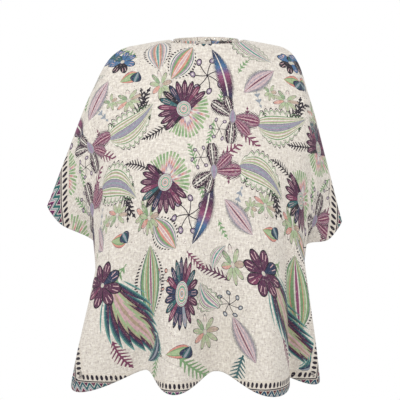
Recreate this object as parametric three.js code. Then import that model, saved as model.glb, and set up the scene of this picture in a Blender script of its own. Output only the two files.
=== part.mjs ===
// Barber cape, as it hangs on a standing wearer with both elbows held a little out.
// Millimetres, +Z up, front towards -Y, +X to the right as seen from the front.
// The origin is the centre of the neck opening.
import * as THREE from "three";

// ---- Driving dimensions ----

// Neck opening and its stand-up band
const neckRadius = 73;
const neckTilt = 8; // degrees; the front of the opening is the lower side
const bandHeight = 16;
const rollOut = 22; // the cloth rises from the band's seam and rolls over this far out
const rollDrop = 5; // top of that roll below the band's top
const rollDropAtNape = 22; // lower behind, so that the closure tab is free of it
const bandThickness = 3;
const gap = 0.4; // clearance kept between pieces that touch

// Cape cloth
const clothThickness = 2;
const clothSegmentsAcross = 66;
const clothSegmentsDown = 18;

// Where the cloth lies over the wearer, out from the neck's centre and down from it
const shoulderDrop = 27;
const chestDepth = 118;
const bellyDepth = 165;
const handDepth = 200;
const frontDrop = 772;
const sleeveSag = 42; // how far the sleeve's lower edge hangs below the elbow's tip
const left = {
  side: -1, shoulder: 201, elbowOut: 370, elbowDrop: 388, underarmOut: 250, underarmDrop: 484, hemOut: 276,
};
const right = {
  side: 1, shoulder: 191, elbowOut: 317, elbowDrop: 424, underarmOut: 226, underarmDrop: 488, hemOut: 231,
};

// Back wings: the two edges part below the nape
const napeEdgeAngle = 18; // degrees from the nape to the start of each back edge
const wingOut = 196;
const wingBack = 118;
const wingDrop = 492;

// Hanging folds of the lower curtain, from the left hem corner (-1) to the right one (1)
const foldDepth = 88;
const foldDrop = 46;
const foldStart = 330; // below this the folds begin to open
const folds = [
  { at: -0.91, reach: 0.36, height: 1 },
  { at: -0.24, reach: 0.33, height: 0.85 },
  { at: 0.56, reach: 0.44, height: 1 },
  { at: 0.98, reach: 0.24, height: 0.85 },
];

// Closure tab and snap fasteners
const tabBaseAngle = -16; // degrees from the nape, towards the left
const tabLength = 78;
const tabHeight = 15;
const tabThickness = 2;
const tabRise = 0.5; // the tab sits this much above the band's middle
const tabSpacing = 4.8; // between the band's outside and the tab's inside
const snapPitch = 15; // degrees round the band
const firstSnapAngle = 2;
const socketCount = 6;
const studPlaces = [1, 2]; // the sockets that the tab's two studs are closed in
const capRadius = 5.6;
const capHeight = 1.6;
const studRadius = 4.5;
const studBase = 1;
const nubRadius = 2;
const nubReach = 0.9; // how far a nub goes into its socket
const socketRadius = 4.8;
const socketHole = 2.6;
const socketHeight = 2.3;
const backCapRadius = 5;
const backCapHeight = 1.1;
const snapSegments = 16;

// Sewn-in care label
const labelWidth = 28;
const labelDrop = 44;
const labelThickness = 0.6;
const labelAngle = 52; // degrees from the nape, towards the right
const labelInset = 3;

// ---- Shared shapes ----

const tilt = THREE.MathUtils.degToRad(neckTilt);
const napeDirection = Math.PI / 2;

// A point of the neck ring: angle in degrees from the nape, towards the right, before the ring is tilted.
function ringPoint(angle, radius, height) {
  const turn = napeDirection - THREE.MathUtils.degToRad(angle);
  return new THREE.Vector3(radius * Math.cos(turn), radius * Math.sin(turn), height);
}

function material(color, roughness, metalness = 0) {
  return new THREE.MeshStandardMaterial({ color, roughness, metalness });
}

function pieceMesh(name, geometry, look) {
  const mesh = new THREE.Mesh(geometry, look);
  mesh.name = name;
  return mesh;
}

// A closed solid between two grids of points with the same rows and columns.
function shellBetween(outer, inner) {
  const rows = outer.length;
  const columns = outer[0].length;
  const points = [...outer.flat(), ...inner.flat()];
  const at = (layer, row, column) => (layer * rows + row) * columns + column;
  const faces = [];
  const quad = (a, b, c, d) => faces.push(a, b, c, a, c, d);
  for (let row = 0; row + 1 < rows; row += 1) {
    for (let column = 0; column + 1 < columns; column += 1) {
      quad(at(0, row, column), at(0, row + 1, column), at(0, row + 1, column + 1), at(0, row, column + 1));
      quad(at(1, row, column), at(1, row, column + 1), at(1, row + 1, column + 1), at(1, row + 1, column));
    }
  }
  for (let column = 0; column + 1 < columns; column += 1) {
    const end = rows - 1;
    quad(at(0, 0, column), at(0, 0, column + 1), at(1, 0, column + 1), at(1, 0, column));
    quad(at(0, end, column + 1), at(0, end, column), at(1, end, column), at(1, end, column + 1));
  }
  for (let row = 0; row + 1 < rows; row += 1) {
    const end = columns - 1;
    quad(at(0, row + 1, 0), at(0, row, 0), at(1, row, 0), at(1, row + 1, 0));
    quad(at(0, row, end), at(0, row + 1, end), at(1, row + 1, end), at(1, row, end));
  }
  const geometry = new THREE.BufferGeometry();
  geometry.setAttribute("position", new THREE.Float32BufferAttribute(points.flatMap((p) => p.toArray()), 3));
  geometry.setIndex(faces);
  return geometry;
}

// ---- Cape cloth ----

// Ribs run from the neckline, over the roll round the neck, to the edge of the cloth. Each has four
// stations beyond the roll, as [out, back, up] from the neck's centre.
const ribDown = [0, 0.045, 0.25, 0.5, 0.75, 1];

const frontRib = {
  across: 0,
  stations: [
    [0, -chestDepth, -110],
    [0, -bellyDepth, -300],
    [0, -handDepth, -500],
    [0, -handDepth, -frontDrop],
  ],
};

function sideRibs(body) {
  const { shoulder, elbowOut, elbowDrop, underarmOut, underarmDrop, hemOut } = body;
  const armOut = elbowOut - shoulder;
  const armDrop = elbowDrop - shoulderDrop;
  return [
    {
      across: 0.2,
      stations: [
        [0.5 * shoulder, -chestDepth + 8, -102],
        [0.52 * underarmOut, -bellyDepth + 8, -295],
        [0.52 * underarmOut, -handDepth + 18, -500],
        [0.5 * hemOut, -handDepth + 18, -frontDrop],
      ],
    },
    {
      across: 0.4,
      stations: [
        [0.8 * shoulder, -84, -80],
        [0.84 * underarmOut, -128, -262],
        [0.93 * underarmOut, -110, -485],
        [hemOut, -62, -frontDrop],
      ],
    },
    {
      across: 0.53,
      stations: [
        [0.92 * shoulder, -60, -58],
        [shoulder + 38, -101, -203],
        [underarmOut + 3, -84, -402],
        [underarmOut + 0.5 * (hemOut - underarmOut), -34, -0.5 * (underarmDrop + frontDrop)],
      ],
    },
    {
      across: 0.64,
      stations: [
        [0.98 * shoulder, -38, -42],
        [shoulder + 0.34 * armOut, -72, -shoulderDrop - 0.34 * armDrop],
        [shoulder + 0.5 * armOut, -80, -shoulderDrop - 0.78 * armDrop],
        [underarmOut, -34, -underarmDrop],
      ],
    },
    {
      across: 0.73,
      stations: [
        [0.99 * shoulder, -20, -shoulderDrop - 6],
        [shoulder + 0.36 * armOut, -44, -shoulderDrop - 0.3 * armDrop],
        [shoulder + 0.62 * armOut, -52, -shoulderDrop - 0.7 * armDrop],
        [elbowOut - 30, -26, -elbowDrop - sleeveSag],
      ],
    },
    {
      across: 0.79,
      stations: [
        [shoulder, -4, -shoulderDrop],
        [shoulder + 0.38 * armOut, -12, -shoulderDrop - 0.27 * armDrop],
        [shoulder + 0.7 * armOut, -18, -shoulderDrop - 0.64 * armDrop],
        [elbowOut, -14, -elbowDrop],
      ],
    },
    {
      across: 0.9,
      stations: [
        [0.88 * shoulder, 44, -44],
        [shoulder + 0.16 * armOut, 74, -shoulderDrop - 0.3 * armDrop],
        [shoulder + 0.42 * armOut, 84, -shoulderDrop - 0.68 * armDrop],
        [elbowOut - 62, 72, -elbowDrop - 44],
      ],
    },
    {
      across: 1,
      stations: [
        [0.28 * wingOut, 0.9 * wingBack, -0.2 * wingDrop],
        [0.53 * wingOut, wingBack, -0.46 * wingDrop],
        [0.78 * wingOut, wingBack, -0.73 * wingDrop],
        [wingOut, wingBack, -wingDrop],
      ],
    },
  ].map((rib) => ({
    across: body.side * rib.across,
    stations: rib.stations.map(([out, back, up]) => [body.side * out, back, up]),
  }));
}

// The neckline runs from the back edge of the left wing, round the front, to that of the right wing.
function necklinePoint(across, out, height) {
  const angle = 180 - across * (180 - napeEdgeAngle);
  const point = ringPoint(angle, neckRadius + bandThickness + gap + clothThickness / 2 + out, height);
  return point.applyAxisAngle(new THREE.Vector3(1, 0, 0), tilt);
}

function rollHeight(across) {
  const behind = THREE.MathUtils.smoothstep(Math.abs(across), 0.72, 0.85);
  return THREE.MathUtils.lerp(-rollDrop, -rollDropAtNape, behind);
}

const ribs = [...sideRibs(left).reverse(), frontRib, ...sideRibs(right)].map((rib) => ({
  across: rib.across,
  points: [
    necklinePoint(rib.across, 0, -bandHeight),
    necklinePoint(rib.across, rollOut, rollHeight(rib.across)),
    ...rib.stations.map((station) => new THREE.Vector3(...station)),
  ],
}));

// A smooth curve through points at uneven steps, with the slope of each point's two neighbours.
function smoothThrough(places, points, place) {
  let i = 0;
  while (i + 2 < places.length && place > places[i + 1]) {
    i += 1;
  }
  const slope = (k) => {
    const before = Math.max(k - 1, 0);
    const after = Math.min(k + 1, places.length - 1);
    return points[after].clone().sub(points[before]).divideScalar(places[after] - places[before]);
  };
  const step = places[i + 1] - places[i];
  const t = (place - places[i]) / step;
  return new THREE.Vector3()
    .addScaledVector(points[i], 2 * t ** 3 - 3 * t ** 2 + 1)
    .addScaledVector(slope(i), (t ** 3 - 2 * t ** 2 + t) * step)
    .addScaledVector(points[i + 1], 3 * t ** 2 - 2 * t ** 3)
    .addScaledVector(slope(i + 1), (t ** 3 - t ** 2) * step);
}

const cornerAcross = 0.4; // the hem's corners
const ribPlaces = ribs.map((rib) => rib.across);

// How far the folds stand out at a place: 0 in a trough, 1 on a full ridge.
function foldHeight(across) {
  const place = across / cornerAcross;
  return folds.reduce((most, fold) => {
    const off = (place - fold.at) / fold.reach;
    const rise = Math.abs(off) < 1 ? fold.height * Math.cos((Math.PI / 2) * off) ** 2 : 0;
    return Math.max(most, rise);
  }, 0);
}

function clothPoint(across, down) {
  const along = ribs.map((rib) => smoothThrough(ribDown, rib.points, down));
  const point = smoothThrough(ribPlaces, along, across);
  const open = THREE.MathUtils.smoothstep(-point.z, foldStart, frontDrop);
  const front = THREE.MathUtils.smoothstep(-Math.abs(across), -0.6, -0.42);
  const height = foldHeight(across) - 0.45;
  const away = new THREE.Vector3(0.6 * point.x, point.y, 0).normalize();
  point.addScaledVector(away, foldDepth * open * front * height);
  point.z -= foldDrop * open * front * height;
  return point;
}

function clothGrid(offset) {
  const nudge = 1e-4;
  const inside = (value, low, high) => Math.min(Math.max(value, low), high);
  const rows = [];
  for (let row = 0; row <= clothSegmentsDown; row += 1) {
    const down = row / clothSegmentsDown;
    const line = [];
    for (let column = 0; column <= clothSegmentsAcross; column += 1) {
      const across = -1 + (2 * column) / clothSegmentsAcross;
      const sideways = clothPoint(inside(across + nudge, -1, 1), down)
        .sub(clothPoint(inside(across - nudge, -1, 1), down));
      const downwards = clothPoint(across, inside(down + nudge, 0, 1))
        .sub(clothPoint(across, inside(down - nudge, 0, 1)));
      const normal = downwards.cross(sideways).normalize();
      line.push(clothPoint(across, down).addScaledVector(normal, offset));
    }
    rows.push(line);
  }
  return rows;
}

function capeBody() {
  const geometry = shellBetween(clothGrid(clothThickness / 2), clothGrid(-clothThickness / 2));
  return pieceMesh("cape_body", geometry, material("#dad2c8", 0.85));
}

// ---- Neckband and closure tab ----

function curvedStrip(startAngle, endAngle, innerRadius, thickness, low, high, steps) {
  const strip = (radius) => [high, low].map((height) => {
    const line = [];
    for (let i = 0; i <= steps; i += 1) {
      line.push(ringPoint(startAngle + ((endAngle - startAngle) * i) / steps, radius, height));
    }
    return line.reverse();
  });
  return shellBetween(strip(innerRadius + thickness), strip(innerRadius));
}

function neckband() {
  const buttGap = 0.6; // degrees, where the underlap's end meets the start of the band
  const geometry = curvedStrip(
    tabBaseAngle + buttGap, tabBaseAngle + 360 - buttGap, neckRadius, bandThickness, -bandHeight, 0, 96,
  );
  return pieceMesh("neckband", geometry, material("#dad2c8", 0.85));
}

const tabInside = neckRadius + bandThickness + tabSpacing;
const tabMiddle = -bandHeight / 2;

function overlapTab() {
  const sweep = THREE.MathUtils.radToDeg(tabLength / (tabInside + tabThickness));
  const low = tabMiddle - tabHeight / 2 + tabRise;
  const high = low + tabHeight;
  const geometry = curvedStrip(tabBaseAngle, tabBaseAngle + sweep, tabInside, tabThickness, low, high, 24);
  return pieceMesh("overlap_tab", geometry, material("#dad2c8", 0.85));
}

// ---- Snap fasteners ----

// A turned piece whose axis points straight out of the band: its profile is [radius, height] pairs.
function snapPiece(name, profile, angle, seat, look) {
  const points = profile.map(([radius, height]) => new THREE.Vector2(radius, height));
  const mesh = pieceMesh(name, new THREE.LatheGeometry(points, snapSegments), look);
  const out = ringPoint(angle, 1, 0);
  mesh.quaternion.setFromUnitVectors(new THREE.Vector3(0, 1, 0), out);
  mesh.position.copy(out).multiplyScalar(seat).setZ(tabMiddle);
  return mesh;
}

const steel = () => material("#c4c6c8", 0.3, 1);
const bandOutside = neckRadius + bandThickness;

function socket(place) {
  const profile = [
    [socketHole, 0], [socketRadius, 0], [socketRadius, socketHeight - 0.7],
    [socketRadius - 0.9, socketHeight], [socketHole + 0.4, socketHeight], [socketHole, socketHeight - 0.4],
    [socketHole, 0],
  ];
  const angle = firstSnapAngle + place * snapPitch;
  return snapPiece(`socket_${place + 1}`, profile, angle, bandOutside + gap, steel());
}

function socketBackCap(place) {
  const profile = [
    [0, 0], [backCapRadius - 1.2, 0], [backCapRadius, 0.5], [backCapRadius, backCapHeight], [0, backCapHeight],
  ];
  const angle = firstSnapAngle + place * snapPitch;
  const edgeRise = neckRadius - Math.sqrt(neckRadius ** 2 - backCapRadius ** 2);
  const seat = neckRadius - edgeRise - gap - backCapHeight;
  return snapPiece(`socket_back_cap_${place + 1}`, profile, angle, seat, steel());
}

function tabStud(place, index) {
  const edgeRise = tabInside - Math.sqrt(tabInside ** 2 - studRadius ** 2);
  const top = tabInside - edgeRise - gap;
  const nubEnd = bandOutside + gap + socketHeight - nubReach;
  const seat = nubEnd;
  const height = top - seat;
  const profile = [
    [0, 0], [nubRadius - 0.5, 0], [nubRadius, 0.4], [nubRadius, height - studBase],
    [studRadius - 0.5, height - studBase], [studRadius, height - 0.4], [studRadius, height], [0, height],
  ];
  return snapPiece(`tab_stud_${index + 1}`, profile, firstSnapAngle + place * snapPitch, seat, steel());
}

function tabCap(place, index) {
  const dome = [];
  const steps = 6;
  for (let i = 0; i <= steps; i += 1) {
    const turn = (i / steps) * (Math.PI / 2);
    dome.push([capRadius * Math.cos(turn), 0.5 + (capHeight - 0.5) * Math.sin(turn)]);
  }
  dome[steps][0] = 0;
  const profile = [[0, 0], [capRadius - 0.3, 0], ...dome];
  const seat = tabInside + tabThickness + gap;
  return snapPiece(`tab_cap_${index + 1}`, profile, firstSnapAngle + place * snapPitch, seat, steel());
}

// ---- Care label ----

function careLabel() {
  const geometry = new THREE.BoxGeometry(labelWidth, labelThickness, labelDrop);
  const mesh = pieceMesh("care_label", geometry, material("#f2f2ee", 0.6));
  const out = ringPoint(labelAngle, 1, 0);
  mesh.position.copy(out).multiplyScalar(neckRadius - labelInset).setZ(-bandHeight - gap - labelDrop / 2);
  mesh.rotation.z = Math.atan2(out.y, out.x) - Math.PI / 2;
  return mesh;
}

// ---- Assembly ----

const cape = new THREE.Group();
const neck = new THREE.Group();
neck.rotation.x = tilt;
neck.add(neckband(), overlapTab(), careLabel());
for (let place = 0; place < socketCount; place += 1) {
  neck.add(socket(place), socketBackCap(place));
}
studPlaces.forEach((place, index) => neck.add(tabStud(place, index), tabCap(place, index)));
cape.add(neck, capeBody());

export default cape;
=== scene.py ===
import math

import bmesh
import bpy
import numpy as np
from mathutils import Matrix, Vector


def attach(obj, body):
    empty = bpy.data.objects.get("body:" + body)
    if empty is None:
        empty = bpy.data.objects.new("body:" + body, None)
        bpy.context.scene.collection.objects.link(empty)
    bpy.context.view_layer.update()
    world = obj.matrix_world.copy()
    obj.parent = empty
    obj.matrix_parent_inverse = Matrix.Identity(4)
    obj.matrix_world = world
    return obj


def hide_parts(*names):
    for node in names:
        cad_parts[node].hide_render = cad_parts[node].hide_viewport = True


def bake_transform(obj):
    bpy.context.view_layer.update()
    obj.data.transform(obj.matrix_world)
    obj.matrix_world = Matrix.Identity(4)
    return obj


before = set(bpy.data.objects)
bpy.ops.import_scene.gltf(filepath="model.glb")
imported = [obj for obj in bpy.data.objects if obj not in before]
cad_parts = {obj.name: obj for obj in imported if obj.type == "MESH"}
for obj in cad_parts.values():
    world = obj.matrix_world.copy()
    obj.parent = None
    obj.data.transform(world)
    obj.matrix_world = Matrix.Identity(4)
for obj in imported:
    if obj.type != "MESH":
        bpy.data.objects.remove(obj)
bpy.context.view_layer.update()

# ---- The room ----
# A plain white studio: soft light from all round, one large soft lamp high on the left, a weaker
# one on the right and one behind, which lights the wings.

scene = bpy.context.scene
scene.view_settings.view_transform = "Standard"

MM = 0.001
SKY_LIGHT = 0.62
CAMERA_AWAY = 3.0
CAMERA_RISE = math.radians(3)
CAMERA_AIM = Vector((-0.014, 0, -0.376))
FRAME_WIDTH = 0.94
SENSOR = 36


def srgb(code):
    """A colour written as sRGB hex, such as "d9d0c4", as linear red, green, blue and alpha."""
    parts = [int(code[i:i + 2], 16) / 255 for i in (0, 2, 4)]
    linear = [p / 12.92 if p <= 0.04045 else ((p + 0.055) / 1.055) ** 2.4 for p in parts]
    return (*linear, 1.0)


def add(kind, *values, tree=None, out=0, stops=None, sharp=False, **settings):
    """Adds a node with its settings, sets or links its inputs in order, and returns one output. It
    goes into the tree of what it is linked to, or else into tree. A kind in capitals is the
    operation of a math node. stops gives a colour ramp's sRGB colours by their places, where None
    is clear."""
    if kind.isupper():
        kind, settings["operation"] = "Math", kind
    for value in values:
        if isinstance(value, bpy.types.NodeSocket):
            tree = value.id_data
    node = tree.nodes.new("ShaderNode" + kind)
    for key, value in settings.items():
        setattr(node, key, value)
    if stops:
        ramp = node.color_ramp
        ramp.interpolation = "CONSTANT" if sharp else "LINEAR"
        ramp.elements.remove(ramp.elements[1])
        for k, (place, code) in enumerate(stops.items()):
            element = ramp.elements[0] if k == 0 else ramp.elements.new(place)
            element.position = place
            element.color = srgb(code) if code else (0, 0, 0, 0)
    for socket, value in zip(node.inputs, values):
        if isinstance(value, bpy.types.NodeSocket):
            tree.links.new(value, socket)
        elif value is not None:
            socket.default_value = value
    return node.outputs[out]


def uv_mm(tree, name):
    """The place on a UV map, in millimetres."""
    return add("VectorMath", add("UVMap", tree=tree, uv_map=name), (1000, 1000, 0), operation="MULTIPLY")


def new_material(name, values):
    """A node material with values on its Principled shader, its tree and that shader's inputs."""
    material = bpy.data.materials.new(name)
    material.use_nodes = True
    inputs = material.node_tree.nodes["Principled BSDF"].inputs
    for socket, value in values.items():
        inputs[socket].default_value = value
    return material, material.node_tree, inputs


def mesh_object(name, points, faces, smooth=True):
    mesh = bpy.data.meshes.new(name)
    mesh.from_pydata([tuple(p) for p in points], [], [tuple(f) for f in faces])
    mesh.polygons.foreach_set("use_smooth", [smooth] * len(mesh.polygons))
    mesh.update()
    piece = bpy.data.objects.new(name, mesh)
    scene.collection.objects.link(piece)
    return piece


aim_line = Vector((0, -math.cos(CAMERA_RISE), math.sin(CAMERA_RISE)))
camera_data = bpy.data.cameras.new("camera")
camera_data.sensor_width = SENSOR
camera_data.lens = SENSOR * CAMERA_AWAY / FRAME_WIDTH
camera = bpy.data.objects.new("camera", camera_data)
camera.location = CAMERA_AIM + aim_line * CAMERA_AWAY
camera.rotation_euler = aim_line.to_track_quat("Z", "Y").to_euler()
scene.collection.objects.link(camera)
scene.camera = camera

world = bpy.data.worlds.new("daylight")
world.use_nodes = True
sky = world.node_tree.nodes["Background"]
sky.inputs["Color"].default_value = (1, 1, 1, 1)
seen_direct = add("LightPath", tree=world.node_tree)
sky_strength = add("MapRange", seen_direct, 0.0, 1.0, SKY_LIGHT, 1.0)
world.node_tree.links.new(sky_strength, sky.inputs["Strength"])
scene.world = world

for name, place, size, power in (
    ("key lamp", (-1.6, -2.2, 0.9), 1.6, 33),
    ("fill lamp", (1.9, -1.6, 0.4), 1.8, 14),
    ("back lamp", (0.6, 2.4, 0.9), 1.8, 24),
):
    lamp_data = bpy.data.lights.new(name, "AREA")
    lamp_data.size = size
    lamp_data.energy = power
    lamp = bpy.data.objects.new(name, lamp_data)
    lamp.location = place
    lamp.rotation_euler = (Vector(place) - CAMERA_AIM).to_track_quat("Z", "Y").to_euler()
    scene.collection.objects.link(lamp)

# ---- Cape cloth: its shape ----
# One piece of polyester cloth, 1.28 m by 0.90 m with a notch for the neck, cut and turned in at
# all its edges. It hangs from the neckband and over the wearer's shoulders and elbows: the front
# falls in folds, and behind, two wings part below the nape. All lengths here are in millimetres.

NECK_RADIUS = 73
NECK_TILT = math.radians(8)
BAND_HEIGHT = 16
BAND_THICKNESS = 3
SEAM_GAP = 1.4  # from the band's outside to the middle of the cloth
ROLL_OUT = 22
ROLL_DROP = 5
ROLL_DROP_AT_NAPE = 22
NAPE_EDGE_ANGLE = 18
SHOULDER_DROP = 27
CHEST_DEPTH = 118
BELLY_DEPTH = 165
HAND_DEPTH = 200
FRONT_DROP = 772
SLEEVE_SAG = 42
WING_OUT = 196
WING_BACK = 118
WING_DROP = 492
WING_SHARES = ((0.28, 0.9, 0.2), (0.53, 1, 0.46), (0.78, 1, 0.73), (1, 1, 1))
# The side, and how far out or down on it are the shoulder, elbow (both), underarm (both) and hem.
LEFT_BODY = (-1, 201, 370, 388, 250, 484, 276)
RIGHT_BODY = (1, 191, 317, 424, 226, 488, 231)
FOLD_DEPTH = 88
FOLD_DROP = 46
FOLD_START = 330
FOLD_FLANK = 0.45  # a fold's part above this height moves outwards, and its part below it inwards
FOLD_LEAN = 0.6
FOLD_FADE = (0.42, 0.6)
CORNER_ACROSS = 0.4  # the hem's corners, on a scale across the cloth from -1 to 1
FOLDS = ((-0.91, 0.36, 1), (-0.24, 0.33, 0.85), (0.56, 0.44, 1), (0.98, 0.24, 0.85))
RIB_DOWN = np.array([0, 0.045, 0.25, 0.5, 0.75, 1])


def ring_point(angle, radius, height):
    """A point of the neck ring, angle in degrees from the nape towards the right, tilted forward."""
    turn = math.pi / 2 - np.radians(angle)
    x, y = radius * np.cos(turn), radius * np.sin(turn)
    height = height + 0 * x
    return np.stack([
        x,
        y * math.cos(NECK_TILT) - height * math.sin(NECK_TILT),
        y * math.sin(NECK_TILT) + height * math.cos(NECK_TILT),
    ], axis=-1)


def smooth_step(value, low, high):
    t = np.clip((value - low) / (high - low), 0, 1)
    return t * t * (3 - 2 * t)


def smooth_through(places, points, at):
    """A smooth curve through points at uneven places: points[k] may be a whole row of points."""
    count = len(places)
    i = np.clip(np.searchsorted(places, at, side="right") - 1, 0, count - 2)
    before = np.maximum(np.arange(count) - 1, 0)
    after = np.minimum(np.arange(count) + 1, count - 1)
    spread = (slice(None),) + (None,) * (points.ndim - 1)
    slope = (points[after] - points[before]) / (places[after] - places[before])[spread]
    step = (places[i + 1] - places[i])[spread]
    t = (at - places[i])[spread] / step
    return (
        points[i] * (2 * t ** 3 - 3 * t ** 2 + 1) + slope[i] * (t ** 3 - 2 * t ** 2 + t) * step
        + points[i + 1] * (3 * t ** 2 - 2 * t ** 3) + slope[i + 1] * (t ** 3 - t ** 2) * step
    )


def side_ribs(side, shoulder, elbow_out, elbow_drop, underarm_out, underarm_drop, hem_out):
    """Ribs down one half of the cloth, each as its place across and [out, back, up] stations."""

    def on_arm(out_share, back, drop_share):
        out = shoulder + out_share * (elbow_out - shoulder)
        return out, back, -SHOULDER_DROP - drop_share * (elbow_drop - SHOULDER_DROP)

    ribs = [
        (0.2, [(0.5 * shoulder, -CHEST_DEPTH + 8, -102), (0.52 * underarm_out, -BELLY_DEPTH + 8, -295),
               (0.52 * underarm_out, -HAND_DEPTH + 18, -500),
               (0.5 * hem_out, -HAND_DEPTH + 18, -FRONT_DROP)]),
        (0.4, [(0.8 * shoulder, -84, -80), (0.84 * underarm_out, -128, -262),
               (0.93 * underarm_out, -110, -485), (hem_out, -62, -FRONT_DROP)]),
        (0.53, [(0.92 * shoulder, -60, -58), (shoulder + 38, -101, -203), (underarm_out + 3, -84, -402),
                ((underarm_out + hem_out) / 2, -34, -(underarm_drop + FRONT_DROP) / 2)]),
        (0.64, [(0.98 * shoulder, -38, -42), on_arm(0.34, -72, 0.34), on_arm(0.5, -80, 0.78),
                (underarm_out, -34, -underarm_drop)]),
        (0.73, [(0.99 * shoulder, -20, -SHOULDER_DROP - 6), on_arm(0.36, -44, 0.3),
                on_arm(0.62, -52, 0.7), (elbow_out - 30, -26, -elbow_drop - SLEEVE_SAG)]),
        (0.79, [(shoulder, -4, -SHOULDER_DROP), on_arm(0.38, -12, 0.27), on_arm(0.7, -18, 0.64),
                (elbow_out, -14, -elbow_drop)]),
        (0.9, [(0.88 * shoulder, 44, -44), on_arm(0.16, 74, 0.3), on_arm(0.42, 84, 0.68),
               (elbow_out - 62, 72, -elbow_drop - 44)]),
        (1, [(out * WING_OUT, back * WING_BACK, -drop * WING_DROP) for out, back, drop in WING_SHARES]),
    ]
    return [(side * across, [(side * x, y, z) for x, y, z in stations]) for across, stations in ribs]


front_rib = (0, [(0, -CHEST_DEPTH, -110), (0, -BELLY_DEPTH, -300),
                 (0, -HAND_DEPTH, -500), (0, -HAND_DEPTH, -FRONT_DROP)])
ribs = side_ribs(*LEFT_BODY)[::-1] + [front_rib] + side_ribs(*RIGHT_BODY)
rib_places = np.array([across for across, _ in ribs], float)


def neckline(across, out, height):
    angle = 180 - across * (180 - NAPE_EDGE_ANGLE)
    return ring_point(angle, NECK_RADIUS + BAND_THICKNESS + SEAM_GAP + out, height)


roll_heights = -ROLL_DROP - (ROLL_DROP_AT_NAPE - ROLL_DROP) * smooth_step(abs(rib_places), 0.72, 0.85)
rib_points = np.concatenate([
    neckline(rib_places, 0, -BAND_HEIGHT)[:, None],
    neckline(rib_places, ROLL_OUT, roll_heights)[:, None],
    np.array([stations for _, stations in ribs], float),
], axis=1)


def fold_height(across):
    """How far the folds stand out: 0 in a trough, 1 on a full ridge."""
    place = across / CORNER_ACROSS
    heights = []
    for at, reach, height in FOLDS:
        off = np.clip((place - at) / reach, -1, 1)
        heights.append(height * np.cos(math.pi / 2 * off) ** 2)
    return np.max(heights, axis=0)


def cloth_points(down, across):
    """The cloth's middle surface at every pair of the two lists, as rows down the cloth."""
    along = smooth_through(RIB_DOWN, rib_points.transpose(1, 0, 2), down)
    points = smooth_through(rib_places, along.transpose(1, 0, 2), across).transpose(1, 0, 2)
    opened = smooth_step(-points[..., 2], FOLD_START, FRONT_DROP)
    front = smooth_step(-abs(across), -FOLD_FADE[1], -FOLD_FADE[0])[None]
    height = (fold_height(across) - FOLD_FLANK)[None] * opened * front
    away = np.stack([FOLD_LEAN * points[..., 0], points[..., 1], 0 * height], axis=-1)
    away /= np.linalg.norm(away, axis=-1, keepdims=True)
    points = points + away * (FOLD_DEPTH * height)[..., None]
    points[..., 2] -= FOLD_DROP * height
    return points


# The cloth is laid flat again from its hung shape, so that its print, weave and borders keep their
# real size: every short length on it relaxes to the length that it has as it hangs.

FLAT_STEPS = 3000
FLAT_STIFFNESS = 0.12
FLAT_TURN = math.radians(100)  # each half opens this far round the neck before it relaxes
flat_down = np.linspace(0, 1, 37)
flat_across = np.linspace(-1, 1, 81)


def laid_flat(points):
    lengths = np.linalg.norm(np.diff(points, axis=0), axis=-1)
    radius = NECK_RADIUS + np.concatenate([0 * lengths[:1], np.cumsum(lengths, axis=0)])
    turn = flat_across * FLAT_TURN
    flat = np.stack([radius * np.sin(turn), -radius * np.cos(turn)], axis=-1)
    steps = [
        ((slice(1, None), slice(None)), (slice(None, -1), slice(None))),
        ((slice(None), slice(1, None)), (slice(None), slice(None, -1))),
        ((slice(1, None), slice(1, None)), (slice(None, -1), slice(None, -1))),
        ((slice(1, None), slice(None, -1)), (slice(None, -1), slice(1, None))),
    ]
    real = [np.linalg.norm(points[a] - points[b], axis=-1) for a, b in steps]
    for _ in range(FLAT_STEPS):
        push = np.zeros_like(flat)
        for (a, b), length in zip(steps, real):
            gap = flat[a] - flat[b]
            now = np.linalg.norm(gap, axis=-1)
            move = gap * ((length - now) / np.maximum(now, 1e-6) * FLAT_STIFFNESS)[..., None]
            push[a] += move
            push[b] -= move
        flat += push
    middle = len(flat_across) // 2
    flat -= flat[0, middle]
    lean = math.atan2(flat[-1, middle, 0], -flat[-1, middle, 1])
    turned = np.array([[math.cos(lean), -math.sin(lean)], [math.sin(lean), math.cos(lean)]])
    flat = flat @ turned
    flat[..., 1] += points[0, middle, 2]
    return flat


def refined(grid, down, across):
    """A grid on the flattening's own rows and columns, at other places on the cloth."""
    rows = smooth_through(flat_down, grid, down)
    return smooth_through(flat_across, rows.swapaxes(0, 1), across).swapaxes(0, 1)


def edge_distance(flat_points, edge):
    """Distance from an edge line of the flat cloth, and how far along it the nearest point is."""
    a, b = edge[:-1], edge[1:]
    run = b - a
    length = np.linalg.norm(run, axis=1)
    start = np.concatenate([[0], np.cumsum(length)[:-1]])
    best = np.full(flat_points.shape[:-1], 1e9)
    place = np.zeros_like(best)
    for k in range(len(a)):
        off = flat_points - a[k]
        t = np.clip((off @ run[k]) / length[k] ** 2, 0, 1)
        distance = np.linalg.norm(off - t[..., None] * run[k], axis=-1)
        nearer = distance < best
        best[nearer] = distance[nearer]
        place[nearer] = (start[k] + t * length[k])[nearer]
    return best, place


down = np.concatenate([np.linspace(0, 0.965, 120), np.linspace(0.97, 1, 9)])
across = np.concatenate([np.linspace(-1, -0.97, 6), np.linspace(-0.965, 0.965, 245),
                         np.linspace(0.97, 1, 6)])

hung = cloth_points(down, across)
flat_coarse = laid_flat(cloth_points(flat_down, flat_across))
flat = refined(flat_coarse, down, across)
outer_edge = flat_coarse[-1]
border_distance, _ = edge_distance(flat, outer_edge)

# The printed border runs straight down the front's sides and straight across it, and the cut waves
# through it: it is measured there from a line beyond each elbow and a level line just under the
# hem's lowest points. Behind the elbows it follows the edge.

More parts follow.
